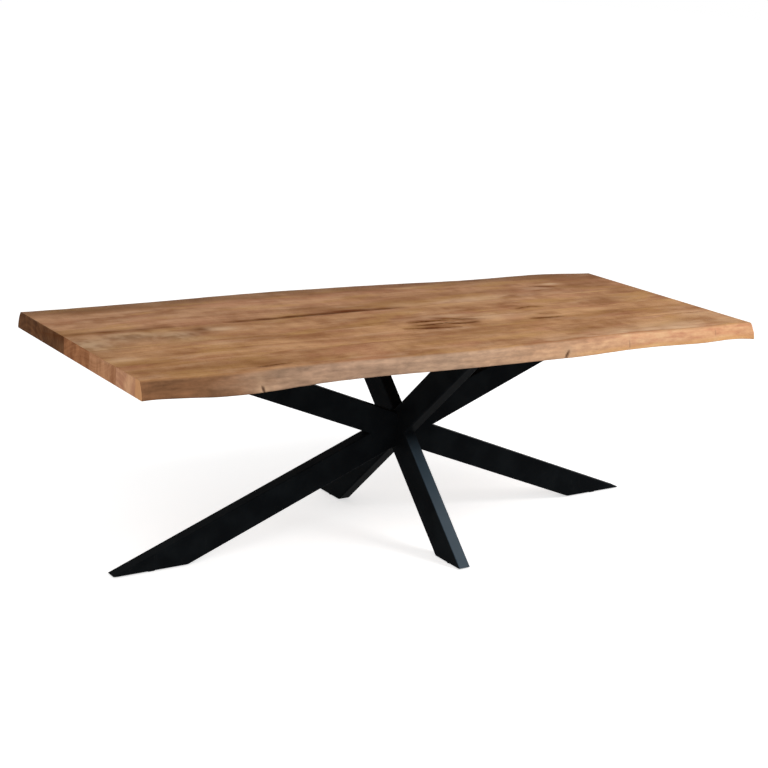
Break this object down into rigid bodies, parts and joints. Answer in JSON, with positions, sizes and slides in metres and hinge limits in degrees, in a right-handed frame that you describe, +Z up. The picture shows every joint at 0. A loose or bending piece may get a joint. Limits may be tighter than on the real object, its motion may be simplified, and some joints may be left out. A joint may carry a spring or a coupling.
{
  "type": "dining table",
  "caption": "Live edge dining table: thick glued hardwood top with natural long edges, bolted to a welded spider base of black rectangular steel tube with levelling feet.",
  "frame": {"origin": "on the floor, under the middle of the top", "axes": "+X along the table to its right end, +Y to its back edge, +Z up"},
  "size_m": [2.4, 0.9796, 0.765],
  "materials": {
    "hardwood": "oiled, satin",
    "black_steel": "powder coat, satin black",
    "black_fasteners": "black oxide",
    "zinc_steel": "zinc plated",
    "pad_plastic": "moulded, matt"
  },
  "bodies": {
    "table": {"back_board": "hardwood", "upper_middle_board": "hardwood", "lower_middle_board": "hardwood", "front_board": "hardwood", "cross_tube": "black_steel", "back_leg_tube": "black_steel", "front_arm_tube": "black_steel", "left_leg_tube": "black_steel", "left_arm_tube": "black_steel", "right_leg_tube": "black_steel", "right_arm_tube": "black_steel", "left_mount_plate": "black_steel", "right_mount_plate": "black_steel", "front_mount_plate": "black_steel", "back_mount_plate": "black_steel", "left_foot_plate": "black_steel", "right_foot_plate": "black_steel", "front_foot_plate": "black_steel", "back_foot_plate": "black_steel", "foot_nuts": "zinc_steel", "mount_bolts": "black_fasteners", "mount_washers": "black_fasteners", "threaded_inserts": "zinc_steel"},
    "left_levelling_foot": {"left_foot_pad": "pad_plastic", "left_foot_stud": "zinc_steel"},
    "right_levelling_foot": {"right_foot_pad": "pad_plastic", "right_foot_stud": "zinc_steel"},
    "front_levelling_foot": {"front_foot_pad": "pad_plastic", "front_foot_stud": "zinc_steel"},
    "back_levelling_foot": {"back_foot_pad": "pad_plastic", "back_foot_stud": "zinc_steel"}
  },
  "joints": [
    {"name": "left_foot_screw", "type": "slide", "parent": "table", "child": "left_levelling_foot", "axis": [0, 0, -1], "range_m": [0, 0.01]},
    {"name": "right_foot_screw", "type": "slide", "parent": "table", "child": "right_levelling_foot", "axis": [0, 0, -1], "range_m": [0, 0.01]},
    {"name": "front_foot_screw", "type": "slide", "parent": "table", "child": "front_levelling_foot", "axis": [0, 0, -1], "range_m": [0, 0.01]},
    {"name": "back_foot_screw", "type": "slide", "parent": "table", "child": "back_levelling_foot", "axis": [0, 0, -1], "range_m": [0, 0.01]}
  ]
}
